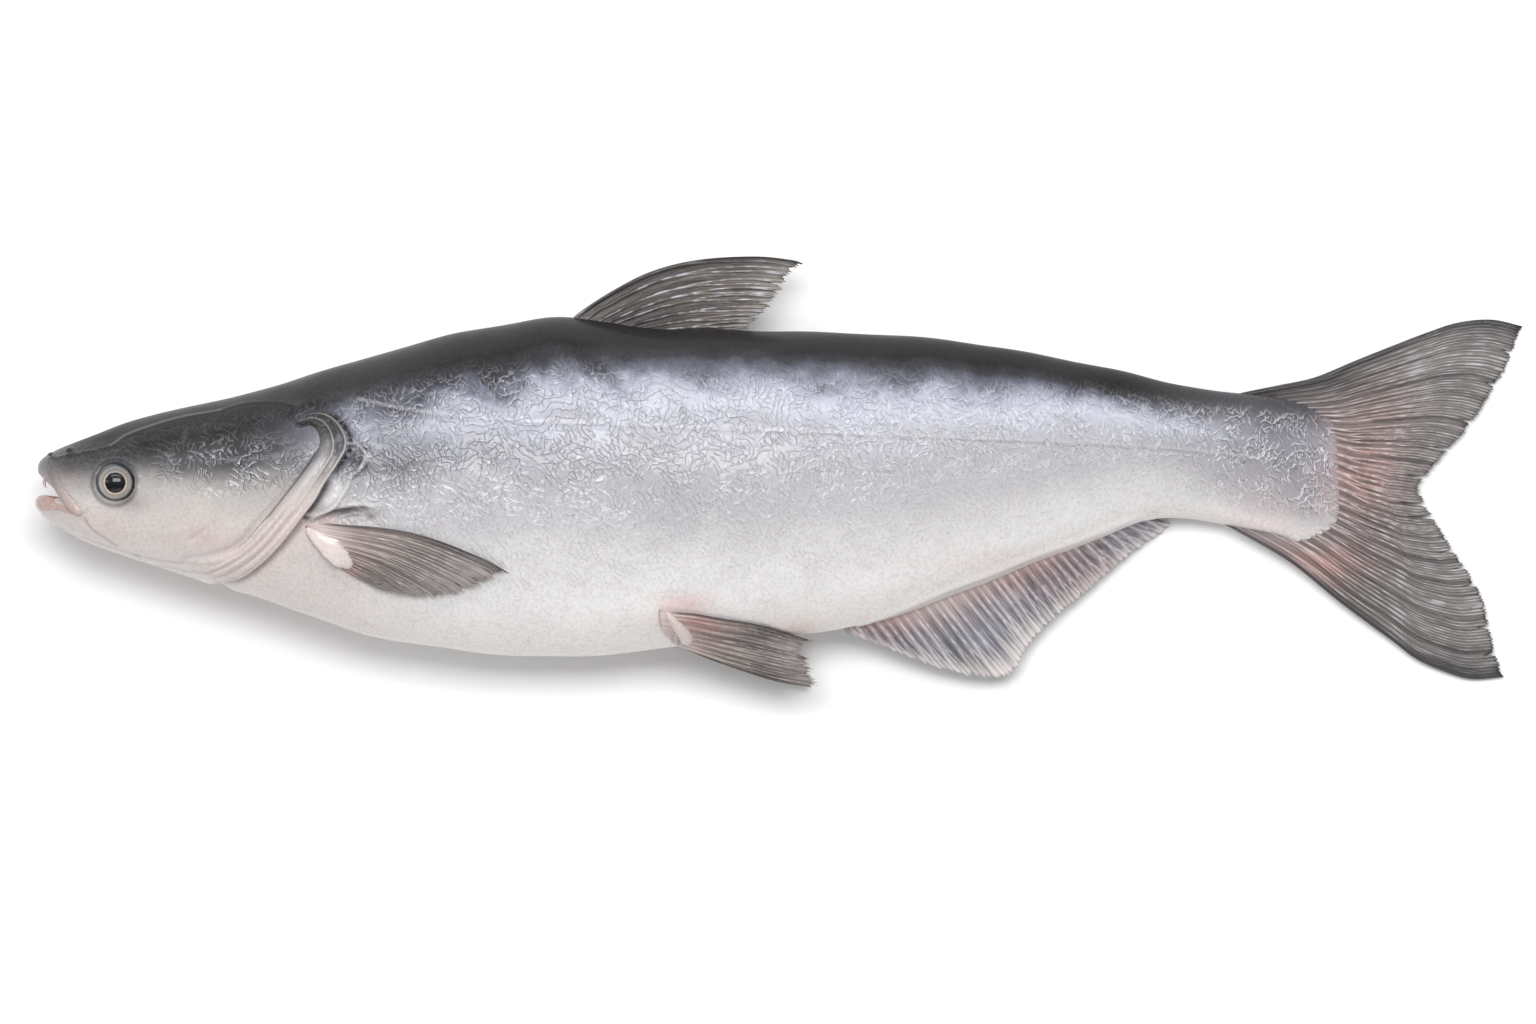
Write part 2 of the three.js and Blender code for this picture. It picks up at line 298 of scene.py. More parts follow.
def skin_relief(x, y):
    """How far, in millimetres, the skin stands out of the smooth body at a place on the side view."""
    from_eye = np.hypot(x - EYE[0], y - EYE[1])
    relief = -SOCKET_DEPTH * (1 - ease(EYE_RADIUS - 1.3, EYE_RADIUS - 0.1, from_eye))
    relief += 0.25 * bell(from_eye - EYE_RADIUS - 0.6, 0.6) + 0.5 * bell(from_eye, 12)
    for at, radius in NOSTRILS:
        from_hole = np.hypot(x - at[0], (y - at[1]) * 1.3)
        relief += 0.45 * bell(from_hole - radius, 0.42)
        relief -= NOSTRIL_DEPTH * (1 - ease(radius * 0.4, radius * 0.95, from_hole))
    relief += traced(x, y, RELIEF_LINES) + spots(x, y, SWELLINGS)
    relief += traced(x, y, [(LATERAL_LINE, 0.6, -0.3)]) * ease(98, 130, x)
    muscle = np.sin(x / 7.3 + 1.1 * np.sin(y / 9)) * np.sin(y / 6.1 + 1.7 * np.sin(x / 23))
    relief += 0.35 * muscle * ease(20, 60, x)
    return relief * (1 - ease(340, 375, x))


def grid(name, columns, rows):
    """A flat grid to be shaped, with each vertex's share across it and down it."""
    bpy.ops.mesh.primitive_grid_add(x_subdivisions=columns, y_subdivisions=rows, size=2)
    obj = bpy.context.object
    obj.name = name
    flat = np.empty(len(obj.data.vertices) * 3)
    obj.data.vertices.foreach_get("co", flat)
    across, down, _ = (flat.reshape(-1, 3).T + 1) / 2
    return obj, across, down


def shape(obj, points):
    """Puts a mesh's vertices at points in millimetres."""
    obj.data.vertices.foreach_set("co", placed(points).ravel())


def body_mesh():
    points = body_points()
    obj, across, down = grid("skin", len(points) - 1, ROWS)
    ring = np.rint(across * (len(points) - 1)).astype(int)
    row = np.rint(down * ROWS).astype(int) % ROWS
    smooth = points.copy()
    # The lips' rim stays smooth, and so does the mouth
    from_rim = ease(IN_MOUTH, IN_MOUTH + 6, np.arange(len(points)))
    relief = skin_relief(points[..., 0], points[..., 1]) * from_rim[:, None]
    points = points + outward_of(points) * relief[..., None]
    points[..., 2] = np.maximum(points[..., 2], 0)
    shape(obj, points[ring, row])
    return obj, points, smooth, ring, row


skin, skin_points, smooth_points, skin_ring, skin_row = body_mesh()


def paint(obj, name, values):
    """Keeps a number for each vertex on a mesh, for its material to read."""
    attribute = obj.data.attributes.new(name, "FLOAT", "POINT")
    attribute.data.foreach_set("value", np.ascontiguousarray(values, float))


def down_share(x, y):
    """0 on the back and 1 on the belly."""
    return np.clip((back(x) - y) / (back(x) - belly(x)), 0, 1)


# How much deeper or shallower than usual the dark back reaches down the flank, as a share of the depth
SHALLOW = through([
    (0, 0), (90, -0.01), (150, -0.01), (185, 0.045), (215, 0.05), (250, 0.015), (300, 0.01),
    (340, -0.03), (395, -0.03),
])


def pigment_share(x, y):
    """0 where the skin is darkest, on the back, to 1 where it is palest, on the belly."""
    down = down_share(x, y)
    return down + SHALLOW(x) * ease(0.02, 0.1, down) * (1 - ease(0.3, 0.6, down))


BLUSHES = [  # places where blood shows through the skin: at, reach along, reach up, strength
    ((6, -4), 5, 4, 0.35), ((20, -17), 7, 4, 0.25), ((62, -25), 9, 5, 0.5), ((78, -14), 4, 9, 0.35),
    ((50, -19), 7, 4, 0.35), ((88, -17), 5, 4, 0.6), ((96, -31), 7, 3, 0.35), ((196, -44), 9, 5, 0.7),
    ((196, -39), 8, 2.5, 0.6), ((231, -48), 7, 4, 0.5), ((300, -27), 40, 4, 0.25),
    ((372, -14), 12, 8, 0.3), ((392, 0), 5, 18, 0.35),
]
# Darker pigment, and painted shade in the recess under the fold above the pectoral fin, at (94, -12.6)
PIGMENT_AND_SHADE_SPOTS = [  # darker pigment
    ((22, 5), 14, 4, 0.35), ((65, 5), 17, 7, 0.75), ((48, 1.5), 14, 4, 0.55), ((97, 3), 3, 4, 0.8),
    ((104, 5), 6, 6, 0.3), ((30, -9.5), 5, 3, 0.3), ((82, 12), 9, 6, 0.4), ((108, 17), 12, 7, 0.4),
    ((120, 6), 18, 5, 0.4), ((148, 7), 16, 5, 0.25), ((106, 20), 7, 4, 0.35), ((111, 1), 8, 4, 0.35),
    ((94, -12.6), 8, 1.8, 0.7), ((10, 1), 5, 4, 0.35), ((16, -3), 5, 6, 0.15), ((105, -3), 10, 5, 0.18),
    ((165, 0), 20, 9, 0.1), ((150, 20), 24, 8, 0.15), ((112, 8), 14, 10, 0.15), ((374, 11), 16, 8, 0.3),
    ((386, -4), 9, 15, 0.2), ((200, -12), 22, 10, 0.12),
]


# Painted shadow beside the gill cover's and the shoulder's edges, painted shade below the head's ridge,
# under the fold above the pectoral fin and in the creases of the jaw and throat, a dark band above the
# head's ridge, and the darker lateral line
SHADE_AND_PIGMENT_LINES = [  # line, width, strength
    (moved(COVER_EDGE[:9], 0.9, 0.3), 0.9, 0.85), (moved(COVER_EDGE[8:], 0.9, -0.6), 0.6, 0.3),
    (moved(HEAD_RIDGE, 0, -0.7), 0.4, 0.6), (moved(HEAD_RIDGE, 0, 1.8), 1.4, 0.5), (JAW_EDGE, 0.5, 0.2),
    ([(30, -25.4), (40, -27.2), (50, -28.2), (58, -27.4)], 0.4, 0.2),
    ([(36, -28.4), (46, -30.2), (54, -30.8)], 0.4, 0.2), (JAW_CREASE, 0.45, 0.25),
    (LATERAL_LINE, 0.5, 0.2), (moved(AXIL_FOLD, 0, -0.9), 0.5, 0.6),
    (moved(SHOULDER_EDGE[:5], 0.8, -0.2), 0.5, 0.5),
]
# Painted highlights: these lines lighten the skin's colour where edges of thin skin, folds and creases
# catch the light
PAINTED_HIGHLIGHT_LINES = [  # edges of thin skin that catch the light
    (moved(HEAD_RIDGE[2:7], 0, 0.2), 0.3, 0.13), (SHOULDER_EDGE, 0.35, 0.5), (AXIL_FOLD, 0.4, 0.4),
    (moved(LATERAL_LINE, 0, 0.7), 0.45, 0.25), (COVER_GROOVE[4:], 0.5, 0.3),
    ([(90, -2), (92, -6), (89, -9)], 1.6, 0.45), (ANAL_CREASE, 0.6, 0.5),
]


def skin_shadow(x, y):
    # Painted shade in a ring round the eye's socket
    eye_rim_shade = 0.55 * bell(np.hypot(x - EYE[0], y - EYE[1]) - EYE_RADIUS - 0.5, 0.8)
    return np.clip(spots(x, y, PIGMENT_AND_SHADE_SPOTS) + traced(x, y, SHADE_AND_PIGMENT_LINES) + eye_rim_shade, 0, 1)


def skin_blush(x, y):
    return np.clip(spots(x, y, BLUSHES), 0, 1)


def headward(x, y):
    """1 on the head, 0 on the trunk."""
    return 1 - ease(62, 112, x + 0.35 * y)


def wrinkle_amount(x, y):
    """Where the drying skin crinkles most: the upper flank behind the head, and the cheek."""
    down = down_share(x, y)
    flank = ease(0.1, 0.2, down) * (1 - 0.6 * ease(0.4, 0.62, down))
    flank *= ease(84, 100, x) * (1 - 0.35 * ease(140, 300, x))
    cheek = spots(x, y, [((63, 1), 20, 6.5, 1.8)])
    root = 0.7 * ease(330, 380, x)
    amount = np.clip(flank + cheek + root, 0.1, 1.7)
    return amount * (1 - 0.9 * ease(0.7, 0.9, down)) * (0.15 + 0.85 * ease(0.07, 0.14, down))


def skin_fields(x, y):
    """What the skin's material reads at places on the side view."""
    return {
        "down": pigment_share(x, y), "fore": headward(x, y), "blush": skin_blush(x, y),
        "shadow": skin_shadow(x, y), "wrinkle": wrinkle_amount(x, y),
        "gleam": 0 * x, "lip": 0 * x, "tail": 0 * x,
    }


def body_paint():
    x, y = smooth_points[..., 0], smooth_points[..., 1]
    down = down_share(x, y)
    outside = (np.arange(len(x)) >= IN_MOUTH)[:, None]
    fields = skin_fields(x, y)
    # Painted highlights along the edges of thin skin, folds and creases
    fields["gleam"] = np.clip(traced(x, y, PAINTED_HIGHLIGHT_LINES), 0, 1)
    on_side = 0.25 + 0.4 * ease(0.05, 0.2, down) - 0.5 * ease(0.75, 0.97, down)
    fields["tail"] = ease(325, 374, x) * on_side
    # Inside the mouth: the lips' colour, blood and painted shade
    mouth = {"down": 0.6, "fore": 1, "blush": 1, "shadow": 0.6, "wrinkle": 0, "gleam": 0, "lip": 1}
    for name, values in fields.items():
        values = np.where(outside, values, mouth.get(name, 0))
        paint(skin, name, values[skin_ring, skin_row])


body_paint()


def closed(obj):
    """Welds a mesh's touching edges and turns its faces outwards."""
    bpy.ops.object.select_all(action="DESELECT")
    obj.select_set(True)
    bpy.context.view_layer.objects.active = obj
    bpy.ops.object.mode_set(mode="EDIT")
    bpy.ops.mesh.select_all(action="SELECT")
    bpy.ops.mesh.remove_doubles(threshold=0.000001)
    bpy.ops.mesh.normals_make_consistent(inside=False)
    bpy.ops.object.mode_set(mode="OBJECT")
    bpy.ops.object.shade_smooth()
    obj.select_set(False)


def colour(code):
    """An sRGB hex code as the linear colour that a shader takes."""
    srgb = [int(code[i : i + 2], 16) / 255 for i in (0, 2, 4)]
    return (*[c / 12.92 if c <= 0.04045 else ((c + 0.055) / 1.055) ** 2.4 for c in srgb], 1)


# The output that a link takes from these kinds of node when it names none; from others, the first
USUAL_OUTPUT = {"ShaderNodeAttribute": "Fac", "ShaderNodeTexWave": "Fac", "ShaderNodeMix": 2}


def add(tree, kind, sockets=None, stops=None, span=(), **settings):
    """Adds a node with its settings, ramp stops and inputs, each a value, a node or (node, output).
    Span is the range that a MapRange maps from and then the one it maps to."""
    made = tree.nodes.new("ShaderNode" + kind)
    if kind == "Mix":
        made.data_type = "RGBA"
    for name, value in settings.items():
        setattr(made, name, value)
    ends = zip(("From Min", "From Max", "To Min", "To Max"), span)
    for name, source in {**(sockets or {}), **dict(ends)}.items():
        if isinstance(source, bpy.types.Node):
            source = (source, USUAL_OUTPUT.get(source.bl_idname, 0))
        if isinstance(source, tuple) and isinstance(source[0], bpy.types.Node):
            tree.links.new(source[0].outputs[source[1]], made.inputs[name])
        else:
            made.inputs[name].default_value = source
    if stops:
        ramp = made.color_ramp
        for at, _ in stops[1:-1]:
            ramp.elements.new(at)
        for element, (at, code) in zip(ramp.elements, stops):
            element.position = at
            element.color = colour(code)
    return made


def new_material(name):
    """An empty material, and the function that adds a node to it."""
    material = bpy.data.materials.new(name)
    material.use_nodes = True
    material.node_tree.nodes.clear()
    return material, functools.partial(add, material.node_tree)


A, B = 6, 7  # the colour inputs of a Mix node


def wet_skin():
    """Raw scaleless skin under a film of mucus: pigment that fades down the flank, silver cells under
    it, and crinkles where the film has begun to dry. The film makes it glossy over a soft body."""
    material, node = new_material("wet_scaleless_skin")
    place = node("TexCoord")
    at = (place, "Object")
    down, fore, blush, shadow, wrinkle, lip, tail, gleam = [
        node("Attribute", attribute_name=field)
        for field in ("down", "fore", "blush", "shadow", "wrinkle", "lip", "tail", "gleam")
    ]
    # Pigment wanders by a few millimetres round its smooth fade
    drift = node("TexNoise", {"Vector": at, "Scale": 1 / 0.014, "Detail": 5.0, "Roughness": 0.65})
    wander = node("MapRange", {"Value": wrinkle}, span=(0, 1, 0.12, 0.3))
    centred = node("Math", {0: drift, 1: 0.5}, operation="SUBTRACT")
    drifted = node("Math", {0: centred, 1: wander}, operation="MULTIPLY")
    level = node("Math", {0: down, 1: drifted}, operation="ADD")
    trunk = node("ValToRGB", {"Fac": level}, stops=TRUNK_COLOURS)
    head = node("ValToRGB", {"Fac": level}, stops=HEAD_COLOURS)
    base = node("Mix", {"Factor": fore, A: trunk, B: head})
    rosy = node("Math", {0: blush, 1: 0.55}, operation="MULTIPLY")
    # Grey of the tail's root, darker pigment with painted shade, blood showing through, and the lips'
    # colour
    for share, code in (tail, "88858b"), (shadow, "37353a"), (rosy, "c2938f"), (lip, "9f7b70"):
        base = node("Mix", {"Factor": share, A: base, B: colour(code)})
    # Pigment cells about a millimetre apart, seen as a fine dotted grain
    dots = node("TexVoronoi", {"Vector": at, "Scale": 1 / 0.0011})
    dotted = node("MapRange", {"Value": (dots, "Distance")}, span=(0.1, 0.6, 0.9, 1.04))
    grained = node("Mix", {"Factor": 1.0, A: base, B: dotted}, blend_type="MULTIPLY")
    # Veins under the pale belly
    bent = node("TexNoise", {"Vector": at, "Scale": 1 / 0.005, "Detail": 2.0})
    push = node("VectorMath", {0: (bent, "Color"), 1: (0.005, 0.005, 0.005)}, operation="MULTIPLY")
    pushed = node("VectorMath", {0: at, 1: push}, operation="ADD")
    net = node("TexNoise", {"Vector": pushed, "Scale": 1 / 0.009, "Detail": 1.0})
    off_vein = node("Math", {0: net, 1: 0.5}, operation="SUBTRACT")
    apart = node("Math", {0: off_vein}, operation="ABSOLUTE")
    thread = node("MapRange", {"Value": apart}, span=(0, 0.03, 0.17, 0))
    low = node("MapRange", {"Value": down}, span=(0.55, 0.8))
    vein = node("Math", {0: thread, 1: low}, operation="MULTIPLY")
    veined = node("Mix", {"Factor": vein, A: grained, B: colour("b39a8f")})
    # Crinkles: thin curling folds of the drying film, in patches that lie at different angles. Each fold
    # rises slowly and drops sharply, so that a bright crest stands beside a dark crease.
    folds = [0.0, 0.0]
    layers = (0, 0.0019, 0.25), (3.1, 0.0026, 1.2), (7.7, 0.0016, -0.6), (1.3, 0.0023, 2.1)
    for shift, spacing, turn in layers:
        turned = node("Mapping", {"Vector": at, "Location": [shift] * 3, "Rotation": (0, 0, turn)})
        waves = node("TexWave", {
            "Vector": turned, "Scale": 0.314 / spacing, "Distortion": 9.0, "Detail": 2.0,
            "Detail Scale": 1.5,
        }, wave_profile="SAW")
        patches = node("TexNoise", {"Vector": turned, "Scale": 1 / (3 * spacing), "Detail": 1.0})
        here = node("MapRange", {"Value": patches}, span=(0.48, 0.56))
        for k, ends in enumerate([(0.72, 1), (0.2, 0)]):  # the crest and the crease
            edge = node("MapRange", {"Value": waves}, span=ends)
            edge = node("Math", {0: edge, 1: here}, operation="MULTIPLY")
            folds[k] = node("Math", {0: edge, 1: folds[k]}, operation="MAXIMUM")
    relief = node("Math", {0: folds[0], 1: folds[1]}, operation="SUBTRACT")
    height = node("Math", {0: relief, 1: wrinkle}, operation="MULTIPLY")
    # The colour follows the folds too: painted shade in the creases and painted highlight on the crests
    painted_crease_shade = node("MapRange", {"Value": height}, span=(0, -1.2, 0, 0.6))
    raised = node("MapRange", {"Value": height}, span=(0, 1.6, 0, 0.7))
    base = veined
    # Mixes in painted shade in the creases, painted highlight on the crests and painted highlights along
    # edges of thin skin
    for share, code in (painted_crease_shade, "37363b"), (raised, "eceef5"), (gleam, "dcd8da"):
        base = node("Mix", {"Factor": share, A: base, B: colour(code)})
    grain = node("TexNoise", {"Vector": at, "Scale": 1 / 0.0008, "Detail": 2.0})
    grainy = node("Bump", {"Strength": 0.3, "Distance": 0.0001, "Height": grain})
    bumpy = node("Bump", {"Strength": 1.0, "Distance": 0.00022, "Height": height, "Normal": grainy})
    dull = node("MapRange", {"Value": drift}, span=(0.3, 0.7, 0.36, 0.5))
    film = node("MapRange", {"Value": down}, span=(0.05, 0.22, 0.15, 0.55))
    shader = node("BsdfPrincipled", {
        "Base Color": base, "Roughness": dull, "IOR": 1.38, "Specular IOR Level": 0.15, "Normal": bumpy,
        "Subsurface Weight": 0.12, "Subsurface Radius": (0.004, 0.002, 0.0015), "Subsurface Scale": 0.6,
        "Coat Weight": film, "Coat Roughness": 0.08, "Coat IOR": 1.4, "Coat Normal": bumpy,
    })
    node("OutputMaterial", {"Surface": shader})
    return material


# Colours from back to belly. The pale band at 0.22 to 0.28 is the silver skin and partly a painted
# highlight of the light reflected there
TRUNK_COLOURS = [
    (0.00, "262425"), (0.08, "282727"), (0.13, "3c3c41"), (0.17, "666874"), (0.22, "a0a2b0"),
    (0.28, "babcc8"), (0.36, "acacb4"), (0.48, "a8a7ab"), (0.60, "b2b0b3"), (0.72, "c6c4c5"),
    (0.86, "d6d4d4"), (1.00, "dfdad6"),
]
HEAD_COLOURS = [
    (0.00, "262526"), (0.07, "1a1a19"), (0.16, "232220"), (0.24, "3b3a37"), (0.32, "69676a"),
    (0.40, "94908e"), (0.48, "a9a5a2"), (0.60, "b9b2af"), (0.80, "cdc5c2"), (1.00, "d4ccc9"),
]
SKIN = wet_skin()


def finish_piece(obj, material, slot, *nodes):
    """Closes a piece, gives it its material, attaches it to what it rides on and hides its CAD parts."""
    closed(obj)
    obj.data.materials.append(material)
    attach(obj, "root")
    if nodes:
        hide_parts(*nodes)


finish_piece(skin, SKIN, "skin", "body")


def flank_tree():
    """The left flank's points by their place on the side view, to lay other pieces on."""
    points = skin_points[IN_MOUTH:].reshape(-1, 3)
    points = points[points[:, 2] > backbone(points[:, 0]) - 1]
    tree = kdtree.KDTree(len(points))
    for i, (x, y, _) in enumerate(points):
        tree.insert((x, y, 0), i)
    tree.balance()
    return tree, points


FLANK, FLANK_POINTS = flank_tree()


def flank_height(x, y):
    """How high the left flank's skin lies at places on the side view."""
    heights = []
    for px, py in zip(np.ravel(x), np.ravel(y)):
        near = FLANK.find_n((px, py, 0), 4)
        weight = np.array([1 / (d * d + 0.01) for _, _, d in near])
        heights.append(np.sum(weight * FLANK_POINTS[[i for _, i, _ in near], 2]) / weight.sum())
    return np.array(heights).reshape(np.shape(x))


def paint_skin(obj, x, y, **fields):
    """The fields that wet skin reads, the body's own unless given."""
    for field, values in {**skin_fields(x, y), **fields}.items():
        paint(obj, field, values + 0 * x)


# Lips: a soft roll of flesh round the lower jaw, a strap of skin over the jawbone at each corner of
# the mouth, and the stub of a whisker under each strap.
def roll(name, path, height, width, up, rings=70, around=24):
    """A soft roll along a smooth line, thinning to a closed tip at both ends, with each vertex's share
    of the length, turn round it and place. Height is measured along up."""
    obj, share, turn = grid(name, rings, around)
    turn = turn * 2 * math.pi
    ahead = along(path, share + 0.01) - along(path, share - 0.01)
    ahead /= np.linalg.norm(ahead, axis=1, keepdims=True)
    rise = np.array(up) - ahead * (ahead @ np.array(up))[:, None]
    rise /= np.linalg.norm(rise, axis=1, keepdims=True)
    out = np.cross(ahead, rise)
    taper = np.sqrt(np.clip(1 - np.abs(2 * share - 1) ** 8, 0, 1))
    tall = (np.interp(share, np.linspace(0, 1, len(height)), height) * taper * np.cos(turn))[:, None]
    wide = (np.interp(share, np.linspace(0, 1, len(width)), width) * taper * np.sin(turn))[:, None]
    points = along(path, share) + rise * tall + out * wide
    shape(obj, points)
    return obj, share, turn, points


def mirrored(points):
    """The same line on the right side, by way of the backbone's height."""
    return [(x, y, 2 * backbone(x) - z) for x, y, z in points]


LIP_SIDE = [(15, -13.4, 43.2), (12, -12, 41.6), (8.5, -10.6, 39.4), (5.2, -9.9, 36.6),
    (2.9, -9.7, 33.4), (2.0, -9.7, 30.4)]


def lower_lip():
    path = LIP_SIDE + [(1.8, -9.7, 27.5)] + mirrored(LIP_SIDE)[::-1]
    obj, _, turn, points = roll(
        "lower_lip", path, height=(1.1, 1.8, 2.3, 2.5, 2.4, 2.5, 2.3, 1.8, 1.1), 
        width=(1.2, 1.7, 2, 2, 2, 2, 2, 1.7, 1.2), up=(0, 1, 0), rings=120,
    )
    x, y, _ = points.T
    inner = 0.5 + 0.5 * np.cos(turn)
    paint_skin(obj, x, y, lip=0.35 + 0.6 * inner, blush=0.4, shadow=0, wrinkle=0.25, fore=1, down=0.8)
    finish_piece(obj, SKIN, "skin")


STRAP = [(4.3, 4.6), (4.7, 1.6), (6, -2), (7.9, -5.4), (10.4, -8.8), (12.8, -11.6), (14.6, -13.2)]


def strap(side):
    line = np.array(STRAP)
    path = [(x, y, z - 0.1) for (x, y), z in zip(STRAP, flank_height(line[:, 0], line[:, 1]))]
    if side == RIGHT:
        path = mirrored(path)
    obj, share, _, points = roll(
        SIDES[side] + "jaw_strap", path,
        height=(0.4, 0.8, 1.0, 1.2, 1.3, 1.2), width=(0.8, 1.2, 1.5, 1.8, 1.9, 1.5), up=(0, 0, 1),
    )
    x, y, _ = points.T
    paint_skin(
        obj, x, y, fore=1, down=0.2 + 0.4 * share, lip=0.25 * ease(0.5, 0.9, share), blush=0.3 * share,
        shadow=0.45 * (1 - share), wrinkle=0.1,
    )
    finish_piece(obj, SKIN, "skin")


def whisker(side):
    path = [(3.0, -1.5, 36.6), (2.5, -2.8, 36.9), (2.6, -4.2, 36.6), (3.1, -5.2, 36.2)]
    if side == RIGHT:
        path = mirrored(path)
    obj, _, _, points = roll(
        SIDES[side] + "whisker", path, height=(0.3, 0.22, 0.08),
        width=(0.3, 0.22, 0.08), up=(0, 0, 1), rings=16, around=10,
    )
    paint_skin(obj, *points[:, :2].T, fore=1, down=0.5, blush=0.3, lip=0.1, wrinkle=0)
    finish_piece(obj, SKIN, "skin")


lower_lip()
for side in (LEFT, RIGHT):
    strap(side)
    whisker(side)

# Gill covers: thin plates of bone and skin over the gills. Each one grows out of the cheek and is free
# along its rear edge, and below it the folded skin that joins the covers to the throat.
COVER_FRONT = [(79, 14.6), (82.5, 13.6), (84.6, 11.4), (85.2, 8.6), (84.2, 5.2), (79, -2), (73.4, -9),
    (67.4, -16.2), (61, -23.2), (55.4, -26.6), (49, -29), (44, -30.4)]
COVER_COLUMNS, COVER_ROWS = 60, 180
COVER_LIFT = 1.6
COVER_PLATE = 0.7
FOLD_HEIGHT = 0.4


def smooth_flank(x, y):
    """Half the thickness of the body at places on the side view, without its relief."""
    above = y > widest_line(x)
    reach = np.where(above, back(x) - widest_line(x), widest_line(x) - belly(x))
    share = np.clip(np.abs(y - widest_line(x)) / reach, 0, 1)
    power = roundness(x, above)
    return half_width(x) * (1 - share**power) ** (1 / power)


def sheet(name, columns, rows):
    """A flat grid to be shaped into a thin closed sheet: its upper side, then its under side, and each
    vertex's place as (share from front to edge, share down it, side)."""
    obj, across, down = grid(name, 2 * columns, rows)
    across = 2 * across - 1
    return obj, 1 - np.abs(across), down, np.where(across < 0, 1, -1)


def gill_cover(side):
    name = SIDES[side] + "gill_cover"
    obj, out, down, face = sheet(name + "_flap", COVER_COLUMNS, COVER_ROWS)
    front, edge = along(COVER_FRONT, down), along(COVER_EDGE, down)
    wave = 0.25 * np.sin(9 * math.pi * down) * out
    x, y = (front + (edge - front) * (out + 0.012 * wave)[:, None]).T
    ends = ease(0, 0.06, down) * (1 - ease(0.94, 1, down))
    low = ease(0.42, 0.62, down)
    folds = FOLD_HEIGHT * np.sin(2 * math.pi * (3.6 * out + 0.4 * down)) * low * ease(0.1, 0.3, out)
    inner_ridge = 0.25 * bell(out - 0.66, 0.05) * (1 - low)
    bead = 0.3 * bell(out - 0.95, 0.04)
    lift = -0.7 + (COVER_LIFT + 0.7) * ease(0, 0.5, out) * ends + (folds + inner_ridge + bead) * ends
    plate = COVER_PLATE * np.sqrt(np.clip(1 - ((out - 0.9) / 0.1).clip(0) ** 2, 0, 1)) * ease(0, 0.1, out)
    height = smooth_flank(x, y) + lift - np.where(face > 0, 0, plate)
    z = backbone(x) + side * height
    shape(obj, np.stack([x, y, np.maximum(z, 0)], axis=-1))
    fold = 0.5 - 0.5 * np.sin(2 * math.pi * (3.6 * out + 0.4 * down))
    # Painted shade in the groove at the front of the plate and, below, in the valleys of the folds; the
    # band inside the rim is darker skin
    groove_shade = 0.8 * bell(out - 0.1, 0.05)
    rim_band = 0.7 * ease(0.66, 0.72, out) * (1 - ease(0.9, 0.94, out)) * (1 - ease(0.25, 0.5, down))
    # Painted highlights: a thin bright line along the free edge, another along the inner rim, and a soft
    # bright streak across the middle of the plate
    edge_highlight = 0.3 * bell(out - 0.965, 0.02) * ease(0.03, 0.1, down)
    inner_rim_highlight = 0.3 * bell(out - 0.66, 0.02) * (1 - low)
    streak = 0.42 * bell(out - 0.4, 0.14) * bell(down - 0.34, 0.13)
    paint_skin(
        obj, x, y, fore=1,
        down=np.interp(down, (0, 0.12, 0.25, 0.4, 0.6, 1), (0.2, 0.22, 0.32, 0.5, 0.76, 0.84)),
        blush=(0.1 + (0.1 * out + 0.45 * fold**3) * low) * ease(0.2, 0.45, down),
        shadow=np.clip(groove_shade + rim_band + 0.25 * fold**4 * low, 0, 1),
        gleam=np.clip(edge_highlight + inner_rim_highlight + streak, 0, 1),
        wrinkle=0.15,
    )
    finish_piece(obj, SKIN, "skin", name)


gill_cover(LEFT)
gill_cover(RIGHT)

# Eyes: balls under a clear wet cornea, with a black pupil, a thin gold ring round it and a silver iris.
PUPIL, GOLD, IRIS = 3.1, 3.5, 5.1  # radii


def eyeball_surface():
    """Pigment rings behind a clear cornea, which is a glossy coat here."""
    material, node = new_material("wet_eyeball")
    place = node("TexCoord")
    centre = placed([EYE[0], EYE[1], 0])
    from_axis = node("VectorMath", {0: (place, "Object"), 1: tuple(centre)}, operation="SUBTRACT")
    flat = node("VectorMath", {0: from_axis, 1: (1, 1, 0)}, operation="MULTIPLY")
    radius = node("VectorMath", {0: flat}, operation="LENGTH")
    fibres = node("TexNoise", {"Vector": (place, "Object"), "Scale": 1 / 0.0007, "Detail": 3.0})
    ragged = node("Math", {0: fibres, 1: 0.0005, 2: (radius, "Value")}, operation="MULTIPLY_ADD")
    share = node("Math", {0: ragged, 1: EYE_RADIUS * MM}, operation="DIVIDE")
    rings = node("ValToRGB", {"Fac": share}, stops=[
        (0.00, "0b0d10"), (PUPIL / EYE_RADIUS, "0d0f12"), (0.53, "4a3d2e"),
        (GOLD / EYE_RADIUS, "cfc3b4"), (0.60, "b0a598"), (0.66, "908a85"), (0.76, "aaa6a2"),
        (IRIS / EYE_RADIUS, "9a9794"), (0.88, "4c4f54"), (1.0, "33363b"),
    ])
    # The upper half of the iris lies in the shade of the brow
    height = node("SeparateXYZ", {0: flat})
    shade = node("MapRange", {"Value": (height, "Y")}, span=(-0.001, 0.0045, 0, 0.5))
    shaded = node("Mix", {"Factor": shade, A: rings, B: colour("2e3338")})
    shader = node("BsdfPrincipled", {
        "Base Color": shaded, "Roughness": 0.3, "IOR": 1.15, "Coat Weight": 1.0, "Coat Roughness": 0.03,
        "Coat IOR": 1.34,
    })
    node("OutputMaterial", {"Surface": shader})
    return material


EYEBALL = eyeball_surface()


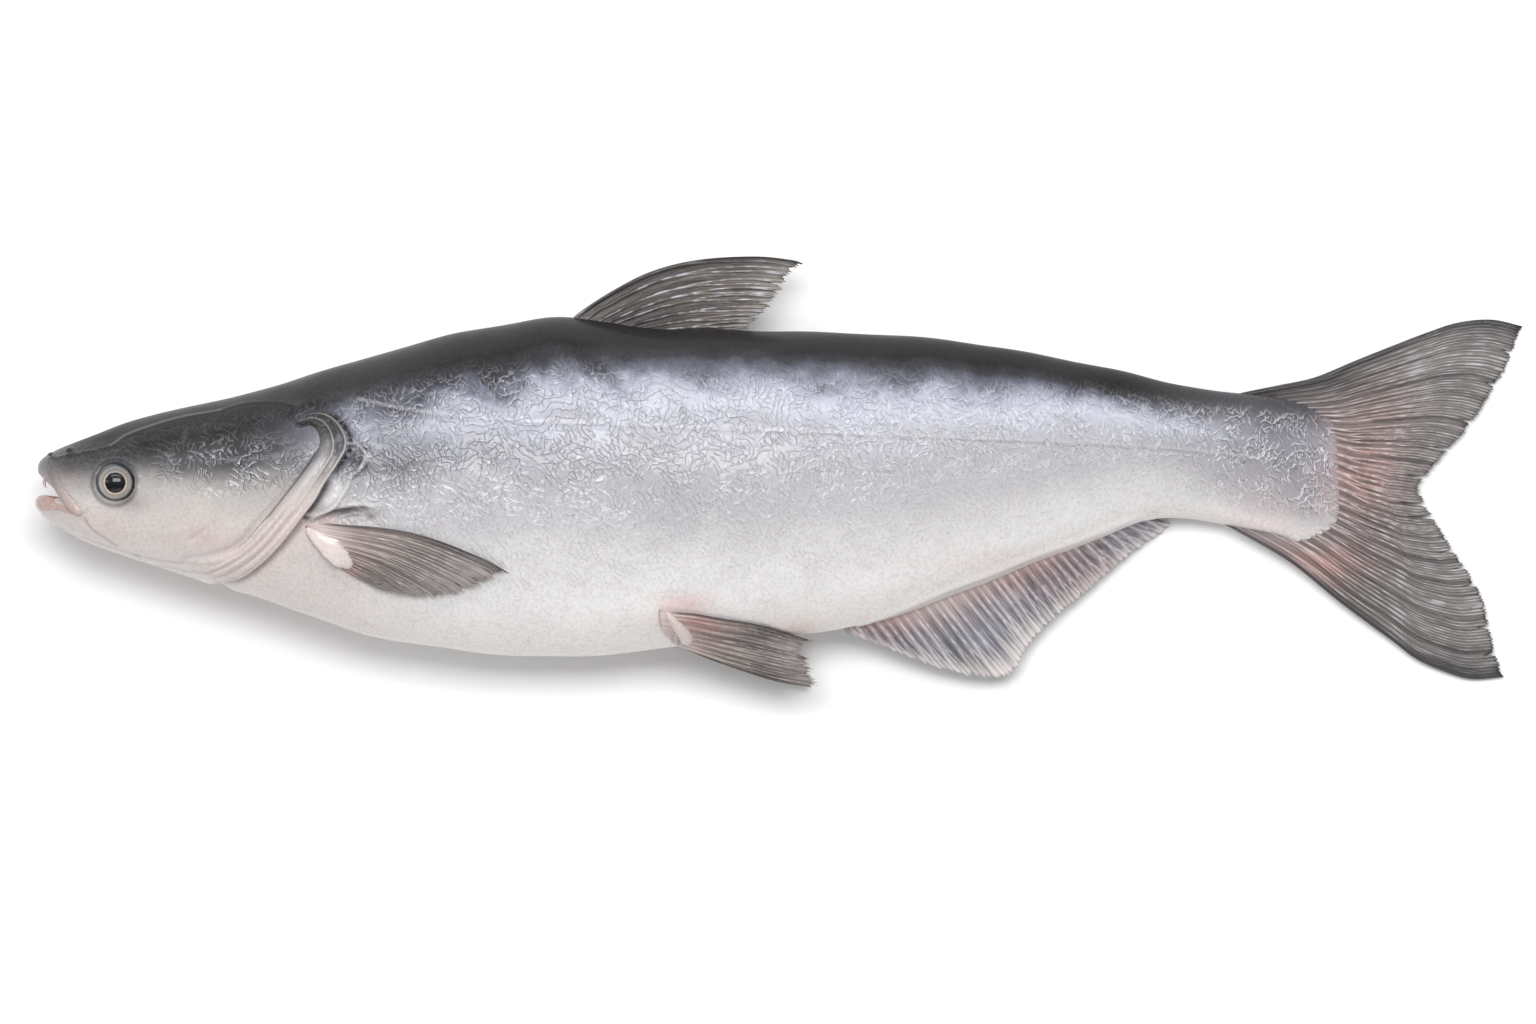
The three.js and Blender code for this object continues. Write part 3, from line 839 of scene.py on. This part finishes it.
def eye(side):
    node = SIDES[side] + "eye"
    low, high = np.array(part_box(node))
    middle = (low + high) / 2
    bpy.ops.mesh.primitive_uv_sphere_add(segments=64, ring_count=40, radius=EYE_RADIUS * MM)
    obj = bpy.context.object
    obj.name = node + "ball"
    for vertex in obj.data.vertices:
        from_axis = math.hypot(vertex.co.x, vertex.co.y) / MM
        pupil_dome = 0.12 * (1 - ease(PUPIL * 0.8, PUPIL * 1.15, from_axis))
        flat = 0.93 * vertex.co.z + math.copysign(pupil_dome * MM, vertex.co.z)
        vertex.co = (middle[0] + vertex.co.x, middle[1] + vertex.co.y, middle[2] + flat)
    finish_piece(obj, EYEBALL, "eye", node)


eye(LEFT)
eye(RIGHT)


# Fins: a fan of soft rays, each splitting towards its tip, with a thin wet membrane between them that
# is torn along its outer edge. Flesh covers the roots.
def fin_skin(name, ramp, streak, light, depth, at_edge):
    """Fin membrane: thin pigmented skin, dark between its rays and glossy with water on them, with
    painted highlights on its rays.
    """
    material, node = new_material(name)
    ray, out, lead, crest, tone, blush = [
        node("Attribute", attribute_name=field)
        for field in ("ray", "out", "lead", "ridge", "tone", "blush")
    ]
    place = node("CombineXYZ", {"X": ray, "Y": out})
    drift = node("TexNoise", {"Vector": place, "Scale": 1.1, "Detail": 3.0})
    level = node("Math", {0: drift, 1: 0.3, 2: -0.15}, operation="MULTIPLY_ADD")
    moved = node("Math", {0: out, 1: level}, operation="ADD")
    base = node("ValToRGB", {"Fac": moved}, stops=ramp)
    rosy = node("Mix", {"Factor": blush, A: base, B: colour("b58c85")})
    # Streaks many times longer than they are wide, three or four to a ray
    stretched = node("VectorMath", {0: place, 1: (4.0, 3.0, 1.0)}, operation="MULTIPLY")
    streaks = node("TexNoise", {"Vector": stretched, "Scale": 1.0, "Detail": 4.0, "Roughness": 0.7})
    gap = node("MapRange", {"Value": crest}, span=(0, 0.9, depth, 0))
    patchy = node("MapRange", {"Value": streaks}, span=(0.35, 0.6, 0.25, 1))
    away = node("MapRange", {"Value": out}, span=(0.08, 0.3, 0.25, 1))
    near = node("MapRange", {"Value": out}, span=(0.72, 0.95, 1, at_edge))
    darker = 1.0
    for factor in (gap, patchy, away, near):
        darker = node("Math", {0: factor, 1: darker}, operation="MULTIPLY")
    streaked = node("Mix", {"Factor": darker, A: rosy, B: colour(streak)})
    toned = node("MapRange", {"Value": tone}, span=(0, 1, 0.7, 1.3))
    varied = node("Mix", {"Factor": 1.0, A: streaked, B: toned}, blend_type="MULTIPLY")
    # Painted highlights: glints of water beads on the crests of the rays
    beads = node("VectorMath", {0: place, 1: (2.0, 14.0, 1.0)}, operation="MULTIPLY")
    beaded = node("TexNoise", {"Vector": beads, "Scale": 1.0, "Detail": 2.0})
    glint_patches = node("MapRange", {"Value": beaded}, span=(0.45, 0.65))
    glint_on_crests = node("MapRange", {"Value": crest}, span=(0.5, 1, 0, 0.6))
    glint_amount = node("Math", {0: glint_patches, 1: glint_on_crests}, operation="MULTIPLY")
    painted_glints = node("Mix", {"Factor": glint_amount, A: varied, B: colour(light)})
    led = node("Mix", {"Factor": lead, A: painted_glints, B: colour("2b292a")})
    fine = node("VectorMath", {0: place, 1: (12.0, 9.0, 1.0)}, operation="MULTIPLY")
    fibres = node("TexNoise", {"Vector": fine, "Scale": 1.0, "Detail": 2.0})
    bump = node("Bump", {"Strength": 0.6, "Distance": 0.0003, "Height": fibres})
    shader = node("BsdfPrincipled", {
        "Base Color": led, "Roughness": 0.4, "IOR": 1.4, "Specular IOR Level": 0.35, "Normal": bump,
        "Coat Weight": 0.6, "Coat Roughness": 0.12, "Coat IOR": 1.36, "Coat Normal": bump,
    })
    node("OutputMaterial", {"Surface": shader})
    return material


def fan(lead, last, root, edge, lean, across, out):
    """Places on a sheet between its first ray, its last ray, its root and its outer edge. The rays in
    between end further along the edge the more they lean."""
    a, t = across[:, None], out[:, None]
    tip = across + lean * np.sin(math.pi * across) * (1 - across) ** 2
    far_a = a + (tip[:, None] - a) * t
    sides = (1 - far_a) * along(lead, out) + far_a * along(last, out)
    ends = (1 - t) * along(root, across) + t * along(edge, tip)
    near = (1 - far_a) * np.array(root[0]) + far_a * np.array(root[-1])
    far = (1 - far_a) * np.array(edge[0]) + far_a * np.array(edge[-1])
    return sides + ends - (1 - t) * near - t * far


def filaments(across, reach, rays, split, chance):
    """How near each place is to a filament, 0 to 1, and which one: every ray splits in two, and again."""
    centres = (np.arange(rays) + 0.5 + chance.uniform(-0.3, 0.3, rays)) / rays
    first, second = ease(split, split + 0.3, reach), ease(split + 0.3, split + 0.6, reach)
    away = np.full(np.shape(across), 9.0)
    owner = np.zeros(np.shape(across), int)
    for ray, centre in enumerate(centres):
        for branch, (a, b) in enumerate([(-1, -1), (-1, 1), (1, -1), (1, 1)]):
            here = np.abs(across - centre - (0.25 * a * first + 0.125 * b * second) / rays) * rays
            owner = np.where(here < away, 4 * ray + branch, owner)
            away = np.minimum(here, away)
    return bell(away, 0.2 - 0.09 * first - 0.04 * second), owner


def ray_fin(
    name, node, lead, last, root, edge, rays, material, height, columns, rows, half_root=0.9,
    half_edge=0.18, relief=0.35, ragged=1.2, slits=(), flesh=0.0, fleshy=0.1, lead_width=0.03,
    last_width=0.0, split=0.25, blushes=(), wave=0.0, dark_from=0.05, darks=(), lean=0.0, seed=1,
):
    """A fin between its first ray, its last ray, its root and its outer edge, on a middle surface whose
    height is a function. Lengths are in millimetres, and the other sizes are shares of the fin."""
    obj, across, out, face = sheet(name, columns, rows)
    chance = np.random.default_rng(seed)
    size = np.linalg.norm(along(edge, across) - along(root, across), axis=-1) + 4
    state = chance.bit_generator.state
    at_edge, tip = filaments(across, np.ones_like(across), rays, split, chance)
    lengths, tones = chance.uniform(0, 1, 4 * rays), chance.uniform(0, 1, 4 * rays)
    cut = ragged * ((1 - at_edge) + 0.9 * lengths[tip])
    for at, depth in slits:
        cut += depth * bell((across - at) * 4 * rays, 0.4)
    inner = ease(0, 0.02, across) * ease(0, 0.02, 1 - across)
    reach = out * (1 - np.minimum(cut * inner / size, 0.5) * ease(0.3, 1, out))
    x, y = fan(lead, last, root, edge, lean, across, reach).T
    chance.bit_generator.state = state
    ribs, owner = filaments(across, reach, rays, split, chance)
    thick = half_edge + (half_root - half_edge) * (1 - reach) ** 1.5
    thick += relief * ribs * ease(0.02, 0.12, reach) * (1 - 0.6 * reach)
    thick += flesh * bell(reach, fleshy) * np.sin(math.pi * across.clip(0.03, 0.97)) ** 0.5
    front = bell(across, lead_width)
    if last_width:
        front = np.maximum(front, bell(1 - across, last_width))
    thick += 0.4 * front * (1 - 0.6 * reach)
    rounded = np.sqrt(np.clip(1 - ((out - 0.97) / 0.03).clip(0) ** 2, 0, 1)) * np.sqrt(ease(0, 0.02, out))
    sides = np.sqrt(np.clip(1 - (1 - np.minimum(across, 1 - across) / 0.006).clip(0) ** 2, 0, 1))
    middle = height(x, y, across, reach)
    middle += wave * np.sin(2 * math.pi * (2.3 * across + 0.6 * reach)) * reach
    z = np.maximum(middle, thick) + face * thick * rounded * sides
    shape(obj, np.stack([x, y, np.maximum(z, 0)], axis=-1))
    paint(obj, "ray", across * rays)
    paint(obj, "out", reach)
    dark_front = 0.9 * front * ease(dark_from, dark_from + 0.1, reach)
    paint(obj, "lead", np.clip(dark_front + spots(x, y, darks), 0, 0.9))
    paint(obj, "ridge", ribs)
    paint(obj, "tone", 0.5 + (tones[owner] - 0.5) * ease(0.1, 0.5, reach))
    paint(obj, "blush", np.clip(spots(x, y, blushes), 0, 1) + 0 * x)
    finish_piece(obj, material, "fin", node)


DORSAL_SKIN = fin_skin("dorsal_fin_membrane", [
    (0.00, "4c4643"), (0.20, "4e4743"), (0.55, "5f5751"), (0.80, "716963"), (1.00, "8f8882"),
], "161413", "cdcfe0", 1.0, 0.9)
ray_fin(
    "dorsal_fin_rays", "dorsal_fin",
    lead=[(160.5, 44), (164.2, 48), (175, 55), (186.4, 60.6), (200.3, 64), (217, 65), (228.3, 64),
        (232, 62.8)],
    last=[(182, 41.4), (198, 41.8), (215.6, 43.2)],
    root=[(160.5, 44), (168, 43), (182, 41.4)],
    edge=[(232, 62.8), (227.5, 57.5), (222.5, 50), (215.6, 43.2)],
    rays=8, material=DORSAL_SKIN, columns=200, rows=110,
    height=lambda x, y, a, t: backbone(x) - 0.12 * (y - back(x)),
    half_root=1.6, relief=0.65, ragged=1.3, slits=[(0.12, 2), (0.34, 3), (0.6, 2.5), (0.8, 2)],
    split=0.45, lead_width=0.09, wave=0.5, darks=[((181, 45), 18, 2.5, 0.4)], seed=3,
)

TAIL_SKIN = fin_skin("tail_fin_membrane", [
    (0.00, "b4b0b4"), (0.08, "b0a7aa"), (0.16, "a09296"), (0.30, "8c8280"), (0.50, "7b7472"),
    (0.85, "726c6a"), (1.00, "78726f"),
], "1f1d1d", "d6d3d9", 0.85, 1.0)
ray_fin(
    "tail_fin_rays", "tail_fin",
    lead=[(352, 20), (364, 23.6), (375.5, 26), (387, 28.5), (399, 33.4), (410.5, 38), (422, 42.4),
        (431, 45.2), (441, 46), (450.2, 44)],
    last=[(350, -11), (363, -18), (379.5, -27.6), (395, -40), (410.5, -51.4), (418, -57), (426, -60.6),
        (434.5, -63), (444.5, -62.4)],
    root=[(352, 20), (374, 15), (384, 8), (386, 0), (384, -6), (372, -10), (350, -11)],
    edge=[(450.2, 44), (446, 32.5), (441, 23.5), (434.5, 13.5), (427.5, 5.5), (420.5, -2.6),
        (419.3, -5.5), (420.5, -8.5), (427.5, -20.5), (434.5, -30.5), (439, -40.5), (442, -53),
        (444.5, -62.4)],
    rays=32, material=TAIL_SKIN, columns=440, rows=112,
    height=lambda x, y, a, t: backbone(x) - 0.03 * (x - 395) + 0.4 * np.sin(y / 9.0) * t,
    half_root=0.8, relief=0.45, ragged=0.75,
    slits=[(0.07, 2.5), (0.16, 3), (0.27, 4), (0.36, 4), (0.45, 6), (0.525, 9), (0.56, 7), (0.66, 4),
        (0.71, 3), (0.76, 4), (0.87, 3.5), (0.94, 3)],
    lead_width=0.022, last_width=0.028, split=0.2,
    blushes=[((402, 0), 11, 15, 0.6), ((389, -28), 14, 6, 0.7), ((408, 20), 12, 8, 0.2)], dark_from=0.0,
    darks=[((368, 24), 16, 6, 0.9), ((390, 28), 14, 5, 0.85), ((404, 36), 12, 4, 0.5),
        ((432, -58), 14, 6, 0.5), ((417, -4), 6, 7, 0.3), ((440, 42), 12, 5, 0.3)],
    seed=5,
)

ANAL_SKIN = fin_skin("anal_fin_membrane", [
    (0.00, "cdbebb"), (0.22, "b6a6a5"), (0.42, "9b979e"), (0.66, "9f9ba3"), (0.82, "c2bbbb"),
    (1.00, "ded7d5"),
], "3b3d47", "d6d1d4", 0.85, 0.2)
ray_fin(
    "anal_fin_rays", "anal_fin",
    lead=[(243, -45), (244, -47.5), (245.5, -49.2)],
    last=[(333, -12.6), (338, -14), (343, -15.6)],
    root=[(243, -45), (258, -41.5), (280, -33), (306, -23), (333, -12.6)],
    edge=[(245.5, -49.2), (255.5, -53), (270, -59), (284.5, -62.9), (292, -63.2), (297, -61),
        (299.5, -55.5), (303, -50.5), (317.5, -37.5), (332.5, -25), (343, -17.2), (343, -15.6)],
    rays=36, material=ANAL_SKIN, columns=430, rows=80,
    height=lambda x, y, a, t: backbone(x) - 9 * t * t,
    half_root=1.3, relief=0.4, ragged=1.3, wave=0.3, split=0.5, lead_width=0.012, lean=0.25,
    blushes=[((300, -30), 40, 8, 0.45), ((255, -47), 12, 6, 0.5)], seed=9,
)

PAIRED_SKIN = fin_skin("paired_fin_membrane", [
    (0.00, "cfc3c0"), (0.14, "c6b6b2"), (0.24, "ac9a95"), (0.45, "908580"), (0.70, "7f7673"),
    (1.00, "938a87"),
], "2f2b2b", "cbc4c3", 0.65, 0.7)


PECTORAL_LEAD = [(81.8, -16.6), (85.9, -15.6), (94.2, -16.2), (103.7, -16.9), (113.2, -18.4),
    (122.8, -21.2), (132.4, -25), (138.7, -27.9), (143.5, -30.9)]
PECTORAL_EDGE = [(143.5, -30.9), (138, -33.7), (132.4, -36.2), (127.3, -37.8), (120.9, -38.5),
    (114, -38.3), (109, -37.2), (104.5, -35.9)]
ray_fin(
    "left_pectoral_fin_rays", "left_pectoral_fin",
    lead=PECTORAL_LEAD, last=[(89.5, -26.8), (93, -29.6), (98, -32.6), (104.5, -35.9)],
    root=[(81.8, -16.6), (83.5, -19), (86.5, -23), (89.5, -26.8)], edge=PECTORAL_EDGE,
    rays=15, material=PAIRED_SKIN, columns=260, rows=100,
    height=lambda x, y, a, t: flank_height(x, y) + 0.2 + 2 * t,  # a little off its flank, more at its tip
    half_root=0.6, relief=0.38, ragged=1.9, flesh=0.8, fleshy=0.16,
    slits=[(0.08, 2.5), (0.2, 4), (0.33, 3), (0.45, 4), (0.6, 3), (0.75, 3)], lead_width=0.05,
    split=0.3, blushes=[((94, -29.5), 5, 4, 0.6), ((83, -17), 3, 2, 0.5)], seed=11,
)


def lobe(name, path, height, width, clear):
    """A soft pad of flesh over the roots of a fin's rays."""
    flat = np.array(path)
    raised = [(x, y, z + clear) for (x, y), z in zip(path, flank_height(flat[:, 0], flat[:, 1]))]
    obj, share, _, points = roll(name, raised, height, width, up=(0, 0, 1), rings=60)
    paint_skin(
        obj, *points[:, :2].T, fore=1, down=0.85, blush=0.1 + 0.3 * (1 - share), shadow=0, wrinkle=0.05,
    )
    finish_piece(obj, SKIN, "skin")


lobe("left_pectoral_lobe", [(82.2, -17.2), (86, -19.9), (90.5, -23.4), (94.2, -27), (95.6, -29.3)],
     height=(0.5, 0.8, 1.0, 0.9, 0.4), width=(1.1, 2.6, 3.7, 3.7, 1.9), clear=1.15)


# Pressed under the body, and turned a little towards the belly
ray_fin(
    "right_pectoral_fin_rays", "right_pectoral_fin",
    lead=[(x, y - 3 * (1 + (x - PECTORAL_LEAD[0][0]) / 40)) for x, y in PECTORAL_LEAD],
    last=[(86, -30.5), (91, -33), (97, -37)],
    root=[(81.4, -19.4), (81.5, -23), (83, -27), (86, -30.5)],
    edge=[(143.5, -38.5), (136, -42), (126, -44), (114, -44.5), (104, -42), (97, -37)],
    rays=12, material=PAIRED_SKIN, columns=160, rows=60, height=lambda x, y, a, t: 0.5 + 0 * x,
    half_root=0.5, relief=0.15, ragged=1.2, lead_width=0.05, split=0.3, seed=12,
)


def pelvic_height(front, rear, tip):
    """Falls from the root, higher in front than at its rear, to the tip."""
    return lambda x, y, a, t: (front + (rear - front) * a) * (1 - t) + tip * t


def over_body(height, clear):
    """The same, but draped over the left flank, which it leaves in a soft bend below the belly."""

    def draped(x, y, a, t):
        free = height(x, y, a, t)
        edge = belly(x) + 1
        flank = flank_height(x, np.maximum(y, edge)) + clear - 3 * np.maximum(0, edge - y)
        return (free + flank + np.hypot(free - flank, 3)) / 2

    return draped


PELVIC_LEAD = [(188.5, -41.6), (193, -42.5), (199.5, -43.1), (208, -44.6), (214.5, -45.6), (221, -47),
    (228, -49.2), (235.7, -51.6)]
ray_fin(
    "left_pelvic_fin_rays", "left_pelvic_fin",
    lead=PELVIC_LEAD, last=[(193, -52.4), (201.5, -55.6), (214.5, -60), (225, -63), (237, -65)],
    root=[(188.5, -41.6), (188.5, -45), (190, -49), (193, -52.4)],
    edge=[(235.7, -51.6), (232.4, -53.4), (233.5, -57), (235.4, -60.5), (237, -65)],
    rays=8, material=PAIRED_SKIN, columns=180, rows=80,
    height=over_body(pelvic_height(43, 31, 25), 0.6),
    half_root=0.7, relief=0.4, ragged=1.7, flesh=0.7, fleshy=0.16,
    slits=[(0.12, 3.5), (0.37, 3), (0.5, 2), (0.62, 3), (0.8, 2)], lead_width=0.04, split=0.35,
    blushes=[((201, -46), 9, 5, 0.8)], darks=[((222, -61), 14, 3, 0.4)], seed=14,
)
lobe("left_pelvic_lobe", [(190.5, -42), (193, -45.5), (196.4, -49.4), (198.8, -52.4)],
     height=(0.6, 1.1, 1.3, 0.8), width=(0.8, 1.8, 2.5, 1.5), clear=1.8)
ray_fin(
    "right_pelvic_fin_rays", "right_pelvic_fin",
    lead=[(188.5, -41.6), (200, -45), (214, -50), (226, -54), (234, -57)],
    last=[(193, -52.4), (201.5, -56.2), (214.5, -60.9), (225, -64), (235, -65.6)],
    root=[(188.5, -41.6), (188.5, -45), (190, -49), (193, -52.4)],
    edge=[(234, -57), (233, -59), (234, -62), (235, -65.6)],
    rays=8, material=PAIRED_SKIN, columns=120, rows=60, height=pelvic_height(10, 12, 4),
    half_root=0.8, relief=0.25, ragged=1.0, lead_width=0.04, split=0.35, seed=15,
)


# Camera, floor and lights.
def studio():
    low, high = np.array(cad_box)
    middle = (low + high) / 2
    # A very long lens, so that the fish is seen nearly without perspective
    lens, sensor, width, level = 600, 36, 0.4645, 0.026
    left, low_down = 0.0036, 0.0122  # how far the fish is off the middle of the picture
    bpy.ops.object.camera_add(
        location=(middle[0] - left, middle[1] - low_down, level + width * lens / sensor)
    )
    camera = bpy.context.object
    camera.data.lens = lens
    camera.data.sensor_width = sensor
    bpy.context.scene.camera = camera
    bpy.ops.mesh.primitive_plane_add(size=24, location=(0, 0, low[2] - 0.0002))
    floor = bpy.context.object
    floor.name = "floor"
    material, node = new_material("white_paper_sweep")
    shader = node("BsdfPrincipled", {
        "Base Color": colour("f3f3f3"), "Roughness": 0.8, "Specular IOR Level": 0.2,
    })
    node("OutputMaterial", {"Surface": shader})
    floor.data.materials.append(material)
    for name, place, size, power in [
        ("softbox_overhead", (0.0, 0.46, 1.8), (1.3, 0.55), 28),
        ("strip_behind_back", (-0.05, 1.0, 1.15), (1.6, 0.2), 8),
        ("softbox_ahead", (-1.3, 0.2, 0.9), (0.3, 0.8), 2),
        ("softbox_below_belly", (0.0, -1.2, 1.2), (1.8, 0.8), 6),
    ]:
        bpy.ops.object.light_add(type="AREA", location=place)
        light = bpy.context.object
        light.name = name
        light.data.shape = "RECTANGLE"
        light.data.size, light.data.size_y = size
        light.data.energy = power
        # Aimed at the middle of the floor
        x, y, z = place
        light.rotation_euler = (math.atan2(math.hypot(x, y), z), 0, math.atan2(-y, -x) - math.pi / 2)
    world = bpy.data.worlds.new("studio_air")
    bpy.context.scene.world = world
    world.use_nodes = True
    world.node_tree.nodes["Background"].inputs["Color"].default_value = (1, 1, 1, 1)
    world.node_tree.nodes["Background"].inputs["Strength"].default_value = 0.31
    bpy.context.scene.view_settings.view_transform = "Standard"


studio()
